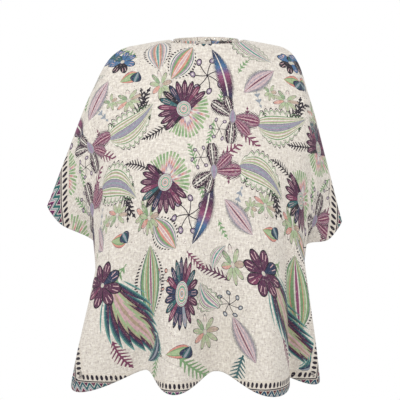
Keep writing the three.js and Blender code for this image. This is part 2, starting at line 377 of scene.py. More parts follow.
BORDER_LEVEL = FRONT_DROP + 44
ELBOW_ACROSS = 0.79
LEFT_LINE = (-1, 371, 332, LEFT_BODY[3])  # its side, its place at the elbow and hem, the elbow's drop
RIGHT_LINE = (1, 341, 289, RIGHT_BODY[3])
LEVEL_LIFT = 400  # takes the level line out of reach of the sleeves
beside = [outer_edge[flat_across < -CORNER_ACROSS], outer_edge[flat_across > CORNER_ACROSS]]
side_distance, side_place = edge_distance(flat, beside[0])
right_distance, right_place = edge_distance(flat, beside[1])
side_place = np.where(right_distance < side_distance, right_place, side_place)
side_distance = np.minimum(side_distance, right_distance)
front = abs(across) < ELBOW_ACROSS
for side, elbow_line, hem_line, elbow_drop in (LEFT_LINE, RIGHT_LINE):
    lowered = np.clip((-hung[..., 2] - elbow_drop) / (FRONT_DROP - elbow_drop), 0, 1)
    line_distance = elbow_line + (hem_line - elbow_line) * lowered - side * hung[..., 0]
    rearward = smooth_step(side * across, ELBOW_ACROSS, 0.95)
    blended = line_distance * (1 - rearward) + side_distance * rearward
    side_distance = np.where(side * across > 0, blended, side_distance)
side_place = np.where(front, flat[..., 1], side_place)
level_distance = BORDER_LEVEL + hung[..., 2] + LEVEL_LIFT * smooth_step(abs(across), 0.5, 0.6)
at_hem = level_distance < side_distance
print_distance = np.where(at_hem, level_distance, side_distance)
print_place = np.where(at_hem, flat[..., 0], side_place)
back_edges = [flat_coarse[:, 0], flat_coarse[:, -1]]
back_distance = np.min([edge_distance(flat, edge)[0] for edge in back_edges], axis=0)

# The edges are turned in twice and stitched, so the cloth is thicker there than elsewhere.

CLOTH_THICKNESS = 0.5
HEM_THICKNESS = 1.5
HEM_WIDTH = 12
edge_reach = np.minimum(border_distance, back_distance)
turned_in = 1 - smooth_step(edge_reach, HEM_WIDTH - 2, HEM_WIDTH + 1)
thickness = CLOTH_THICKNESS + (HEM_THICKNESS - CLOTH_THICKNESS) * turned_in


def grid_normals(points):
    sideways = np.gradient(points, axis=1)
    downwards = np.gradient(points, axis=0)
    normal = np.cross(downwards, sideways)
    return normal / np.linalg.norm(normal, axis=-1, keepdims=True)


def double_sheet(name, points, half):
    """A closed cloth mesh round a grid of middle points: the outer face, the inner face and a rim."""
    rows, columns = points.shape[:2]
    normal = grid_normals(points) * half[..., None]
    corners = np.concatenate([(points + normal).reshape(-1, 3), (points - normal).reshape(-1, 3)]) * MM
    at = np.arange(2 * rows * columns).reshape(2, rows, columns)
    o, i = at
    quads = [
        np.stack([o[:-1, :-1], o[1:, :-1], o[1:, 1:], o[:-1, 1:]], axis=-1).reshape(-1, 4),
        np.stack([i[:-1, :-1], i[:-1, 1:], i[1:, 1:], i[1:, :-1]], axis=-1).reshape(-1, 4),
        np.stack([o[0, :-1], o[0, 1:], i[0, 1:], i[0, :-1]], axis=-1),
        np.stack([o[-1, 1:], o[-1, :-1], i[-1, :-1], i[-1, 1:]], axis=-1),
        np.stack([o[1:, 0], o[:-1, 0], i[:-1, 0], i[1:, 0]], axis=-1),
        np.stack([o[:-1, -1], o[1:, -1], i[1:, -1], i[:-1, -1]], axis=-1),
    ]
    piece = mesh_object(name, corners, np.concatenate(quads).tolist())
    return piece, [len(q) for q in quads]


def give_map(piece, name, per_vertex):
    """A UV map in metres from the millimetres at each vertex; returns the vertex of each corner."""
    corners = np.empty(len(piece.data.loops), int)
    piece.data.loops.foreach_get("vertex_index", corners)
    layer = piece.data.uv_layers.new(name=name)
    layer.data.foreach_set("uv", (per_vertex * MM)[corners].astype(np.float32).ravel())
    return corners


cape, cape_parts = double_sheet("cape", hung, thickness / 2)
both_flat = np.concatenate([flat.reshape(-1, 2)] * 2)
both_border = np.concatenate([np.stack([print_place, print_distance], axis=-1).reshape(-1, 2)] * 2)
vertex_of_corner = give_map(cape, "cut", both_flat)
give_map(cape, "border", both_border)

# ---- Cape cloth: its print ----
# The cloth is printed by the metre before it is cut: a hand-drawn garden of daisies, dotted leaves,
# paisleys, feathers and sprigs on a linen-coloured ground. The drawing repeats across the cloth and
# is turned over below the chest. Along the cut's sides and hem runs a zigzag border with a row of
# dashes. Places are in millimetres on the flat cloth, from the repeat's middle and its turning line.

REPEAT = 376
TURNING_LINE = -268
LOWER_SHIFT = 47
LOWER_SPREAD = 0.00078  # the drawing grows wider by this share for each millimetre below the line

INK, PLUM, WINE, MAGENTA = "2c2531", "5c2a4c", "7a2f56", "94426f"
NAVY, BLUE, TEAL, SEA = "2a3656", "2f6a9a", "2d6468", "5f9d94"
GREEN, LIME, CORAL, PINK = "78a06a", "a3ba86", "d28570", "d3a8ab"
LILAC, MIST, TAN, CREAM = "a08aa6", "929ba6", "b39b80", "e4dcd0"

art = bpy.data.node_groups.new("paisley garden print", "ShaderNodeTree")
art.interface.new_socket("Colour", in_out="OUTPUT", socket_type="NodeSocketColor")
cut_mm = uv_mm(art, "cut")
cut_u = add("SeparateXYZ", cut_mm)
cut_v = cut_u.node.outputs[1]
height = add("SUBTRACT", cut_v, TURNING_LINE)
below = add("LESS_THAN", height, 0)
spread = add("MULTIPLY_ADD", add("MINIMUM", height, 0), LOWER_SPREAD, 1)
shifted_u = add("MULTIPLY_ADD", below, LOWER_SHIFT, add("MULTIPLY", cut_u, spread))
middle_u = add("WRAP", shifted_u, REPEAT / 2, -REPEAT / 2)
side_u = add("WRAP", shifted_u, REPEAT, 0)
turned_height = add("ABSOLUTE", height)
wholes = {
    (near_edge, turned_over): add("CombineXYZ", across_place, up_place)
    for near_edge, across_place in ((False, middle_u), (True, side_u))
    for turned_over, up_place in ((True, turned_height), (False, height))
}


def local(u, v, length, turn, width=None, once=False):
    """Co-ordinates of one motif: 1 is its half length along x. Motifs near the repeat's edge sit in
    the half-shifted copy, so that none is cut through. Below the turning line, a motif is turned
    over with the drawing; one that is there once isn't, and one with v negative is only below."""
    near_edge = abs(u) > REPEAT / 4
    place = (u % REPEAT if near_edge else u, v, 0)
    vector = add("Mapping", wholes[near_edge, v > 0 and not once], place, (0, 0, math.radians(turn)),
                 (length, width or length, 1), vector_type="TEXTURE")
    x = add("SeparateXYZ", vector)
    return vector, x, x.node.outputs[1]


def within(x, reach):
    """1 where x is nearer to 0 than reach, and elsewhere 0."""
    return add("LESS_THAN", add("ABSOLUTE", x), reach)


def off_midrib(x, y, bend):
    """The distance from a line through the motif's length, bent sideways towards both ends."""
    return add("ABSOLUTE", add("MULTIPLY_ADD", add("MULTIPLY", x, x), bend, y))


dot_cells = add("TexVoronoi", cut_mm, None, 0.21)
pale_dots = add("LESS_THAN", dot_cells, 0.27)


def leaf_field(x, y, width, bend, blunt, serration=None):
    """0 on a leaf's curved midrib and 1 at its edge. blunt below 1 rounds the end at x = -1."""
    off = off_midrib(x, y, bend)
    root = add("POWER", add("ADD", x, 1), blunt)
    reach = add("MULTIPLY", add("MULTIPLY", add("SUBTRACT", 1, x), root), width)
    if serration:
        teeth = add("MULTIPLY_ADD", off, -2.2 * serration, add("MULTIPLY", x, serration))
        teeth = add("FRACT", teeth)
        reach = add("MULTIPLY", reach, add("MULTIPLY_ADD", teeth, 0.45, 0.68))
    return add("DIVIDE", off, add("MAXIMUM", reach, 0.002))


def leaf(ground, u, v, length, turn, width, bands, bend=0.0, blunt=1.0, serration=None, halo=None,
         along=None, scallops=None, dots=False, once=False):
    """A leaf, paisley or feather in bands of colour from its midrib out. It can have a halo of ink
    dots, a scalloped outline of ink, or pale dots over it."""
    _, x, y = local(u, v, length, turn, once=once)
    field = leaf_field(x, y, width, bend, blunt, serration)
    shown = add("ValToRGB", add("MULTIPLY", field, 0.5),
                stops={**{at / 2: colour for at, colour in bands.items()}, 0.5: None}, sharp=True)
    mask = shown.node.outputs[1]
    if along:
        run = add("ValToRGB", add("MULTIPLY_ADD", x, 0.5, 0.5), stops=along)
        tint = add("COMPARE", field, 0.5, 0.36)
        shown = add("MixRGB", tint, shown, run)
    ground = add("MixRGB", mask, ground, shown)
    if dots:
        dotted = add("MULTIPLY", pale_dots, add("LESS_THAN", field, 0.8))
        ground = add("MixRGB", dotted, ground, srgb(CREAM))
    if scallops:
        wave = add("ABSOLUTE", add("SINE", add("MULTIPLY", x, scallops)))
        swell = add("MULTIPLY_ADD", wave, -0.34, field)
        inside = within(x, 0.99)
        for at, half, colour in ((1.12, 0.05, GREEN), (1.3, 0.045, INK)):
            line = add("MULTIPLY", add("COMPARE", swell, at, half), inside)
            ground = add("MixRGB", line, ground, srgb(colour))
    if halo:
        ring = add("COMPARE", field, 1.32, 0.12)
        dash = add("LESS_THAN", add("FRACT", add("MULTIPLY", x, halo)), 0.5)
        inside = within(x, 1.0)
        beads = add("MULTIPLY", add("MULTIPLY", ring, dash), inside)
        ground = add("MixRGB", beads, ground, srgb(INK))
    return ground


def own_shade(angle):
    """A random value from 0 to 1 for each petal, of which each whole step of angle is one."""
    petal = add("FLOOR", add("ADD", angle, 0.5))
    return add("TexWhiteNoise", None, petal, noise_dimensions="1D")


def blossom(ground, u, v, size, turn, petals, notch, colours, heart, fringe=True, tall=None,
            heart_size=0.28, once=False):
    """A daisy or fan-shaped flower: dark petals with a lit heart, and a bright fringe on one side."""
    vector, x, y = local(u, v, size, turn, tall, once)
    radius = add("VectorMath", vector, operation="LENGTH", out=1)
    angle = add("MULTIPLY", add("ARCTAN2", y, x), petals / math.tau)
    cell = add("MULTIPLY", add("PINGPONG", angle, 0.5), 2)
    reach = add("MULTIPLY_ADD", add("POWER", cell, 1.7), notch, radius)
    petal = add("ValToRGB", own_shade(angle), sharp=True,
                stops={k / len(colours): colour for k, colour in enumerate(colours)})
    vein = within(add("SUBTRACT", cell, 0.3), 0.07)
    vein = add("MULTIPLY", vein, add("COMPARE", radius, 0.7, 0.14))
    petal = add("MixRGB", vein, petal, srgb(PINK))
    outline = add("MAXIMUM", add("GREATER_THAN", cell, 0.87), add("GREATER_THAN", reach, 0.94))
    petal = add("MixRGB", outline, petal, srgb(INK))
    mask = add("LESS_THAN", reach, 1)
    if fringe:
        side = add("GREATER_THAN", x, 0.2)
        lash_angle = add("MULTIPLY", angle, 2)
        lashes = add("MULTIPLY", add("PINGPONG", lash_angle, 0.5), 2)
        lash_mask = add("LESS_THAN", lashes, add("MULTIPLY_ADD", radius, -0.6, 1.16))
        lash_own = own_shade(lash_angle)
        lash = add("MULTIPLY_ADD", lash_own, 0.34, add("MULTIPLY", radius, 0.66))
        lash = add("ValToRGB", lash, stops=LASH_RUN)
        petal = add("MixRGB", side, petal, lash)
        reach_of_lash = add("LESS_THAN", add("MULTIPLY_ADD", lash_own, 0.14, radius), 1.02)
        lash_mask = add("MULTIPLY", lash_mask, reach_of_lash)
        mask = add("MULTIPLY", mask, add("SUBTRACT", 1, side))
        mask = add("ADD", mask, add("MULTIPLY", lash_mask, side))
    ground = add("MixRGB", mask, ground, petal)
    rings = add("ValToRGB", add("DIVIDE", radius, heart_size), sharp=True, stops=heart)
    return add("MixRGB", rings.node.outputs[1], ground, rings)


def sprig(ground, u, v, length, turn, colour, leaflets, width=0.32, bend=0.1):
    """A thin stem with a row of slanting leaflets on both sides."""
    _, x, y = local(u, v, length, turn)
    off = off_midrib(x, y, bend)
    stem = add("LESS_THAN", off, 0.035)
    slant = add("FRACT", add("MULTIPLY", add("SUBTRACT", x, off), 0.6 * leaflets))
    swell = add("MULTIPLY_ADD", add("DIVIDE", off, width), -0.4, 0.62)
    blade = add("LESS_THAN", slant, swell)
    reach = add("MULTIPLY_ADD", add("MULTIPLY", x, x), -1, 1)
    reach = add("LESS_THAN", off, add("MULTIPLY", reach, width))
    mask = add("MAXIMUM", stem, add("MULTIPLY", blade, reach))
    return add("MixRGB", add("MULTIPLY", mask, within(x, 1)), ground, srgb(colour))


def berries(ground, u, v, size, turn, colour, count):
    """A spray of round berries, each on a curved stalk."""
    vector, x, y = local(u, v, size, turn)
    radius = add("VectorMath", vector, operation="LENGTH", out=1)
    angle = add("ARCTAN2", y, x)
    angle = add("MULTIPLY_ADD", angle, count / math.tau, add("MULTIPLY", radius, 0.4))
    off = add("SUBTRACT", add("FRACT", angle), 0.5)
    arc = add("MULTIPLY", add("MULTIPLY", off, math.tau / count), radius)
    away = add("SUBTRACT", radius, 0.82)
    distance = add("SQRT", add("MULTIPLY_ADD", arc, arc, add("MULTIPLY", away, away)))
    berry = add("ValToRGB", distance, sharp=True, stops={0: CREAM, 0.05: colour, 0.12: INK, 0.17: None})
    stalk = add("MULTIPLY", within(arc, 0.025), add("LESS_THAN", radius, 0.7))
    ground = add("MixRGB", stalk, ground, srgb(INK))
    return add("MixRGB", berry.node.outputs[1], ground, berry)


LASH_RUN = {0: MIST, 0.3: CREAM, 0.38: LILAC, 0.46: CORAL, 0.52: PINK, 0.6: LIME, 0.72: GREEN, 0.86: LIME}
SUN_HEART = {0: TAN, 0.14: MIST, 0.24: CREAM, 0.32: CORAL, 0.4: CREAM, 0.46: SEA, 0.56: LIME, 0.64: CREAM,
             0.7: MAGENTA, 0.76: CREAM, 0.82: SEA, 0.88: CREAM, 0.94: PLUM, 1.0: None}
PALE_HEART = {0: TAN, 0.2: CREAM, 0.4: LIME, 0.55: CREAM, 0.7: PINK, 0.85: MIST, 1.0: None}
FAN = [LIME, CORAL, CREAM, TAN, GREEN, CREAM]
PAISLEY_GREEN = {0: MIST, 0.1: LILAC, 0.2: MIST, 0.27: INK, 0.3: CREAM, 0.36: LIME, 0.5: PINK, 0.56: CREAM,
                 0.66: LIME, 0.72: TAN, 0.8: CREAM, 0.9: GREEN}
PAISLEY_PINK = {0: SEA, 0.15: CREAM, 0.3: PINK, 0.42: LILAC, 0.55: CREAM, 0.66: GREEN, 0.78: CREAM,
                0.92: PLUM}
DOTTED_BANDS = {0: PINK, 0.1: CREAM, 0.18: CORAL, 0.42: GREEN, 0.66: LILAC, 0.8: CREAM, 0.9: TEAL}
FEATHER_BANDS = {0: CREAM, 0.1: NAVY, 0.88: INK}
FEATHER_RUN = {0: WINE, 0.2: NAVY, 0.4: PLUM, 0.55: MAGENTA, 0.7: BLUE, 0.9: NAVY}
LINED_BANDS = {0: PLUM, 0.07: PINK, 0.2: CREAM, 0.26: LILAC, 0.4: CREAM, 0.46: PINK, 0.6: CREAM,
               0.66: LILAC, 0.82: TEAL, 0.9: INK}
PLUME_BANDS = {0: TAN, 0.06: PINK, 0.2: LIME, 0.34: TAN, 0.4: INK, 0.46: PLUM, 0.62: NAVY, 0.74: TEAL,
               0.88: SEA}
CURL_BANDS = {0: MIST, 0.2: NAVY, 0.5: TEAL, 0.8: SEA}
GREY_LEAF_BANDS = {0: SEA, 0.12: CREAM, 0.2: CORAL, 0.36: TAN, 0.5: MIST, 0.62: PINK, 0.74: CREAM,
                   0.86: MIST}
LONG_LEAF_BANDS = {0: MAGENTA, 0.1: CREAM, 0.2: GREEN, 0.42: CORAL, 0.48: LIME, 0.66: CREAM, 0.72: GREEN,
                   0.92: TEAL}
BUD_BANDS = {0: LIME, 0.4: GREEN, 0.6: CORAL, 0.92: WINE}
DARK_BANDS = {0: MIST, 0.2: TEAL, 0.45: NAVY, 0.9: INK}
WINE_BANDS = {0: PINK, 0.07: WINE, 0.4: CREAM, 0.45: MAGENTA, 0.68: CREAM, 0.72: PLUM, 0.9: INK}
INK_BANDS = {0: CREAM, 0.12: INK, 0.36: CREAM, 0.44: PLUM, 0.62: INK}
EYE_BANDS = {0: LILAC, 0.4: MIST, 0.8: PINK, 0.9: INK}

# The ground is slub yarn in both directions: lighter and darker threads a millimetre or two wide.
slubs = []
for stretch in ((0.07, 0.42, 1), (0.42, 0.07, 1)):
    strand = add("VectorMath", cut_mm, stretch, operation="MULTIPLY")
    slubs.append(add("TexNoise", strand, None, 1.0, 2.0, 0.6))
slub = add("MULTIPLY", add("ADD", *slubs), 0.5)
linen = add("ValToRGB", slub, stops={0.36: "d6ccbf", 0.5: "e3dacd", 0.62: "ece5db"})

# Fine specks of ink lie in winding bands between the flowers.
wander = add("TexNoise", cut_mm, None, 0.028, 1.0, 0.5)
speck_band = add("COMPARE", wander, 0.49, 0.018)
speck = add("MULTIPLY", add("LESS_THAN", dot_cells, 0.2), speck_band)
colour = add("MixRGB", add("MULTIPLY", speck, 0.8), linen, srgb(PLUM))

# Small sprigs first, so that the large flowers lie over them.
for item in (
    (113, 10, 42, -35, WINE, 6), (81, 176, 22, 60, GREEN, 4), (122, 108, 24, 110, MIST, 3),
    (-158, 98, 46, 60, INK, 7), (33, 96, 26, 80, GREEN, 5), (60, 262, 40, 200, PLUM, 7),
    (-174, 300, 34, 50, INK, 7), (20, 468, 52, 40, GREEN, 8), (110, 480, 48, 100, TEAL, 9),
    (-100, 520, 36, 70, WINE, 6), (-20, 262, 24, 90, MIST, 4), (-150, 100, 40, 100, INK, 7),
    (-176, 256, 40, 120, GREEN, 6), (-130, 30, 34, 200, INK, 7), (10, 20, 30, 250, GREEN, 6),
    (20, 240, 30, 40, WINE, 6), (-70, 460, 40, 100, GREEN, 7), (-150, 420, 40, 60, WINE, 7),
    (150, 60, 26, -60, INK, 6), (100, 60, 24, 100, WINE, 5),
):
    colour = sprig(colour, *item)
for item in (
    (2, 146, 42, 10, LILAC, 7), (30, 30, 26, 40, LILAC, 6),
    (-60, 270, 26, 0, CORAL, 6), (95, 330, 30, 0, MIST, 7),
):
    colour = berries(colour, *item)

# Dotted and lined leaves, paisleys and buds.
colour = leaf(colour, -54, 178, 44, 50, 0.5, DOTTED_BANDS, halo=7)
colour = leaf(colour, -104, 226, 54, 88, 0.42, GREY_LEAF_BANDS, halo=8, once=True)
colour = leaf(colour, 120, 148, 47, 46, 0.46, LINED_BANDS, serration=7)
colour = leaf(colour, -92, -276, 80, 90, 0.36, LONG_LEAF_BANDS, halo=12)
colour = leaf(colour, -183, 56, 66, 23, 0.38, PAISLEY_GREEN, bend=-0.25, blunt=0.5, scallops=15)
colour = leaf(colour, 92, 226, 56, -38, 0.36, PAISLEY_PINK, bend=-0.25, blunt=0.5, scallops=12, once=True)
colour = leaf(colour, 42, -318, 36, 125, 0.42, PAISLEY_PINK, bend=0.3, blunt=0.5, scallops=9)
colour = leaf(colour, 124, -400, 50, 116, 0.4, LINED_BANDS, serration=8)
colour = leaf(colour, 66, -228, 30, 60, 0.4, PAISLEY_PINK, bend=0.3)
for u, v in ((-176, 172), (-14, -424)):
    colour = leaf(colour, u, v, 22, 190, 0.62, BUD_BANDS, blunt=0.6)
    colour = leaf(colour, u + 17, v - 2, 13, 60, 0.95, DARK_BANDS, blunt=0.5)

# Light fans of green and coral petals.
for u, v, size, tall, petals in (
    (-106, 136, 26, 36, 9), (-186, 118, 34, 26, 9), (104, -246, 26, 44, 8),
    (44, -392, 30, 40, 9), (-94, -142, 26, 38, 9), (150, 128, 16, 22, 7),
):
    fan = blossom(colour, u, v, size, 10, petals, 0.6, FAN, PALE_HEART, fringe=False, tall=tall,
                  heart_size=0.16)
    colour = add("MixRGB", 0.85, colour, fan)

# Feathers and the long plume.
colour = leaf(colour, 42, 140, 72, 108, 0.26, FEATHER_BANDS, bend=-0.14, serration=9, along=FEATHER_RUN)
colour = leaf(colour, -128, -356, 112, -52, 0.42, PLUME_BANDS, bend=-0.16, blunt=0.7, serration=3)
colour = leaf(colour, -66, -420, 36, 62, 0.5, CURL_BANDS, bend=-0.5, blunt=0.8, serration=3)

# Flowers: a dark orchid, a blue and a plum one with broad petals, and the daisies.
for turn, length, bands in (
    (150, 30, INK_BANDS), (112, 24, INK_BANDS), (-4, 34, WINE_BANDS),
    (-40, 28, WINE_BANDS), (-96, 30, INK_BANDS),
):
    lean = math.radians(turn)
    u, v = 63 + length * math.cos(lean), 58 + length * math.sin(lean)
    colour = leaf(colour, u, v, length, turn + 180, 0.5, bands, blunt=0.5, serration=3,
                  dots=bands is INK_BANDS)
colour = leaf(colour, 63, 60, 15, 90, 0.6, EYE_BANDS, blunt=0.6)
colour = blossom(colour, -186, 222, 34, 120, 7, 0.4, [BLUE, NAVY, TEAL, INK], PALE_HEART, fringe=False,
                 heart_size=0.16, once=True)
colour = blossom(colour, -2, 246, 34, 0, 15, 0.26, [NAVY, TEAL, PLUM, INK], SUN_HEART, fringe=False,
                 heart_size=0.3, once=True)
colour = blossom(colour, 172, -256, 42, 30, 8, 0.34, [PLUM, WINE, NAVY, PLUM], PALE_HEART, fringe=False,
                 heart_size=0.1, tall=54)
colour = blossom(colour, -56, 76, 64, -52, 21, 0.26, [PLUM, INK, TEAL, PLUM, NAVY, WINE], SUN_HEART)
colour = blossom(colour, -10, -304, 36, 0, 19, 0.28, [PLUM, MIST, NAVY, WINE, TEAL], SUN_HEART,
                 fringe=False, heart_size=0.36, tall=76)

# The drawing is loose: its colours bleed lighter and darker, with thin unprinted hairlines.
bleed = add("TexNoise", cut_mm, None, 0.16, 3.0, 0.6)
value = add("MULTIPLY_ADD", bleed, 0.9, 0.56)
tone = add("MULTIPLY_ADD", bleed, 0.1, 0.45)
painted = add("HueSaturation", tone, 0.86, value, 1.0, colour)
hair = add("TexNoise", cut_mm, None, 0.11, 1.0, 0.5)
hairline = add("COMPARE", hair, 0.5, 0.006)
colour = add("MixRGB", add("MULTIPLY", hairline, 0.35), painted, srgb(CREAM))

# Zigzag border: stripes whose distance from the edge swings to and fro along it.
BORDER_WIDTH = 32
BARE_EDGE = 22  # linen without flowers, inside the zigzag
CHEVRON_HALF = 9
CHEVRON_SLOPE = 1.6
CHEVRON_REPEAT = 27
PATCH_LENGTH = 66
DASH_PITCH = 11
DASH_SHAPE = (3.4, 6.2)  # half its width and half its length
DASH_PLACE = 12
LINE_PLACE = 2.5
LINE_HALF = 1.3
edge_place = add("SeparateXYZ", uv_mm(art, "border"))
edge_off = edge_place.node.outputs[1]
zigzag = add("MULTIPLY", add("PINGPONG", edge_place, CHEVRON_HALF), CHEVRON_SLOPE)
stripe = add("FRACT", add("DIVIDE", add("ADD", zigzag, edge_off), CHEVRON_REPEAT))
chevrons = add("ValToRGB", stripe, sharp=True, stops={
    0: TEAL, 0.3: CREAM, 0.38: PLUM, 0.62: MAGENTA, 0.7: CREAM, 0.78: MIST, 0.94: CREAM})
patch_place = add("FLOOR", add("DIVIDE", edge_place, PATCH_LENGTH))
patch = add("TexWhiteNoise", None, patch_place, noise_dimensions="1D")
patch_hue = add("MULTIPLY_ADD", patch, 0.18, 0.42)
chevrons = add("HueSaturation", patch_hue, 1.0, 1.0, 1.0, chevrons)
colour = add("MixRGB", add("LESS_THAN", edge_off, BORDER_WIDTH + BARE_EDGE), colour, linen)
colour = add("MixRGB", add("LESS_THAN", edge_off, BORDER_WIDTH), colour, chevrons)
edge_line = add("COMPARE", edge_off, BORDER_WIDTH + LINE_PLACE, LINE_HALF)
colour = add("MixRGB", edge_line, colour, srgb(INK))
dash_along = add("SUBTRACT", add("FRACT", add("DIVIDE", edge_place, DASH_PITCH)), 0.5)
dash_along = add("MULTIPLY", dash_along, DASH_PITCH / DASH_SHAPE[0])
dash_up = add("DIVIDE", add("SUBTRACT", edge_off, BORDER_WIDTH + DASH_PLACE), DASH_SHAPE[1])
dash_along = add("MULTIPLY", dash_along, dash_along)
dash = add("LESS_THAN", add("MULTIPLY_ADD", dash_up, dash_up, dash_along), 1)
colour = add("MixRGB", dash, colour, srgb(INK))

weave_tint = add("MULTIPLY_ADD", slub, 0.5, 0.76)
woven = add("HueSaturation", 0.5, 1.0, weave_tint, 1.0, colour)
print_end = art.nodes.new("NodeGroupOutput")
art.links.new(woven, print_end.inputs[0])


def cloth_material(name, reverse):
    """Printed plain-weave polyester: matt, with a faint sheen. The reverse shows the print through."""
    cloth, tree, inputs = new_material(name, {
        "Roughness": 0.82, "Sheen Weight": 0.12, "Sheen Roughness": 0.5, "Specular IOR Level": 0.3})
    drawn = add("Group", tree=tree, node_tree=art)
    if reverse:
        drawn = add("MixRGB", 0.78, drawn, srgb("e6e0d6"))
    tree.links.new(drawn, inputs["Base Color"])
    cloth_mm = uv_mm(tree, "cut")
    warp = add("TexWave", cloth_mm, 0.22, 0.6, 2.0, bands_direction="X", out=1)
    weft = add("TexWave", cloth_mm, 0.22, 0.6, 2.0, bands_direction="Y", out=1)
    threads = add("ADD", warp, weft)
    bump = add("Bump", 0.25, 0.0002, None, threads)
    tree.links.new(bump, inputs["Normal"])
    return cloth


printed_cloth = cloth_material("digitally printed plain-weave polyester", False)
cape.data.materials.append(printed_cloth)
cape.data.materials.append(cloth_material("reverse of printed plain-weave polyester", True))
inner_face = np.zeros(len(cape.data.polygons), int)
inner_face[cape_parts[0]:cape_parts[0] + cape_parts[1]] = 1
cape.data.polygons.foreach_set("material_index", inner_face)

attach(cape, "cape")
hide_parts("cape_body")

# Each part of the cloth has its own place on one square for its finished colours: the outer face
# large, the inner face small above it, and the four rims as strips beside that.

BAKE_SCALES = (0.754, 0.30)
BAKE_MARGIN = 0.01
INNER_RISE = 0.69
RIM_LEFT, RIM_LENGTH = 0.43, 0.55
RIM_PITCH, RIM_HEIGHT = 0.04, 0.02
bake_corners = np.zeros((len(cape.data.polygons), 4, 2))
flat_metres = both_flat * MM
quad_corners = vertex_of_corner.reshape(-1, 4)
first = 0
for part, count in enumerate(cape_parts):
    quads = slice(first, first + count)
    if part < 2:
        corner = (BAKE_MARGIN, BAKE_MARGIN + INNER_RISE * part)
        place = flat_metres[quad_corners[quads]] - flat_metres.min(axis=0)
        bake_corners[quads] = place * BAKE_SCALES[part] + corner
    else:
        step = np.arange(count)[:, None] + np.array([0, 1, 1, 0])
        bake_corners[quads, :, 0] = RIM_LEFT + RIM_LENGTH * step / count
        bake_corners[quads, :, 1] = INNER_RISE + RIM_PITCH * part + RIM_HEIGHT * np.array([0, 0, 1, 1])
    first += count
bake_map = cape.data.uv_layers.new(name="OFBake")
bake_map.data.foreach_set("uv", bake_corners.astype(np.float32).ravel())

# ---- Neckband ----
# A folded binding of the same printed cloth, sewn over the neckline's raw edge and topstitched near
# both of its edges. It stands 16 mm high and is 3 mm thick, and its two ends meet left of the nape.

TAB_BASE_ANGLE = -16
BUTT_GAP = 0.6  # degrees
TOP_STITCH_INSET = 2.2
STITCH_PITCH = 3.4
STITCH_LENGTH = 2.7
THREAD_RADIUS = 0.24
THREAD_SIDES = 6
PUCKER, PUCKERS = 0.12, 97
BAND_PRINT = -60  # where the band and the tab were cut from the printed cloth
TAB_PRINT = (40, -120)
NO_BORDER = 1000  # so far from the printed border that none shows


def outward_faces(piece, sharp=40):
    """Turns a closed mesh's faces to look outwards, and keeps its edges over sharp degrees crisp."""
    solid = bmesh.new()
    solid.from_mesh(piece.data)
    bmesh.ops.recalc_face_normals(solid, faces=solid.faces)
    solid.to_mesh(piece.data)
    solid.free()
    piece.data.set_sharp_from_angle(angle=math.radians(sharp))
    return piece


def strip_round(angle, inner, thick, low, high, corners=6):
    """Rounded sections of a strip that stands round the neck, one at each angle, and their girth."""
    angle, inner, low, high = np.broadcast_arrays(angle, inner, low, high)
    curve = np.minimum(thick / 2, (high - low) / 2.2)[:, None]
    turns = np.concatenate([
        np.linspace(k * math.pi / 2, (k + 1) * math.pi / 2, corners) for k in range(4)
    ])[None]
    middle = (inner + thick / 2)[:, None]
    half = np.maximum((high - low)[:, None] / 2 - curve, 0)
    radius = middle + thick / 2 * np.cos(turns)
    height = ((high + low) / 2)[:, None] + half * np.sign(np.sin(turns + 1e-9)) + curve * np.sin(turns)
    return np.stack([
        ring_point(a, r, h) for a, r, h in zip(angle[:, None] + 0 * radius, radius, height)
    ]), height


def swept(name, sections, along, across):
    """A closed mesh through rounded sections, mapped for the print: along it and across it in mm."""
    count, around = sections.shape[:2]
    at = np.arange(count * around).reshape(count, around)
    nearer = np.roll(at, -1, axis=1)
    quads = np.stack([at[:-1], at[1:], nearer[1:], nearer[:-1]], axis=-1).reshape(-1, 4).tolist()
    faces = quads + [at[0].tolist(), at[-1, ::-1].tolist()]
    piece = outward_faces(mesh_object(name, sections.reshape(-1, 3) * MM, faces))
    place = np.stack([along[:, None] + 0 * across, across], axis=-1).reshape(-1, 2)
    give_map(piece, "cut", place)
    give_map(piece, "border", np.full_like(place, NO_BORDER))
    return piece


def stitches(name, lines, outward):
    """Lockstitches as short bowed threads along lines of points, proud of the cloth on one side."""
    corners, faces = [], []
    ring = np.linspace(0, 2 * math.pi, THREAD_SIDES + 1)[:-1]
    bow = np.array([-0.3, 0.12, 0.24, 0.12, -0.3])[:, None]
    for line, normals in zip(lines, outward):
        steps = np.linalg.norm(np.diff(line, axis=0), axis=1)
        place = np.concatenate([[0], np.cumsum(steps)])
        starts = np.arange(STITCH_PITCH / 2, place[-1] - STITCH_LENGTH, STITCH_PITCH)
        for start in starts:
            at = start + np.array([0, 0.2, 0.5, 0.8, 1]) * STITCH_LENGTH
            points = np.stack([np.interp(at, place, line[:, k]) for k in range(3)], axis=-1)
            normal = np.stack([np.interp(at, place, normals[:, k]) for k in range(3)], axis=-1)
            normal /= np.linalg.norm(normal, axis=1, keepdims=True)
            run = points[-1] - points[0]
            side = np.cross(run / np.linalg.norm(run), normal)
            for centre, n, s, lift in zip(points, normal, side, bow):
                circle = centre + n * lift + THREAD_RADIUS * (
                    np.cos(ring)[:, None] * s + np.sin(ring)[:, None] * n)
                corners.extend(circle)
            last = len(corners)
            first = last - len(bow) * THREAD_SIDES
            for start_of_ring in range(first, last - THREAD_SIDES, THREAD_SIDES):
                for j in range(THREAD_SIDES):
                    a, b = start_of_ring + j, start_of_ring + (j + 1) % THREAD_SIDES
                    faces.append((a, a + THREAD_SIDES, b + THREAD_SIDES, b))
            faces.append(tuple(range(first, first + THREAD_SIDES)))
            faces.append(tuple(range(last - 1, last - 1 - THREAD_SIDES, -1)))
    sewn = outward_faces(mesh_object(name, np.array(corners) * MM, faces))
    sewn.data.materials.append(thread)
    return sewn


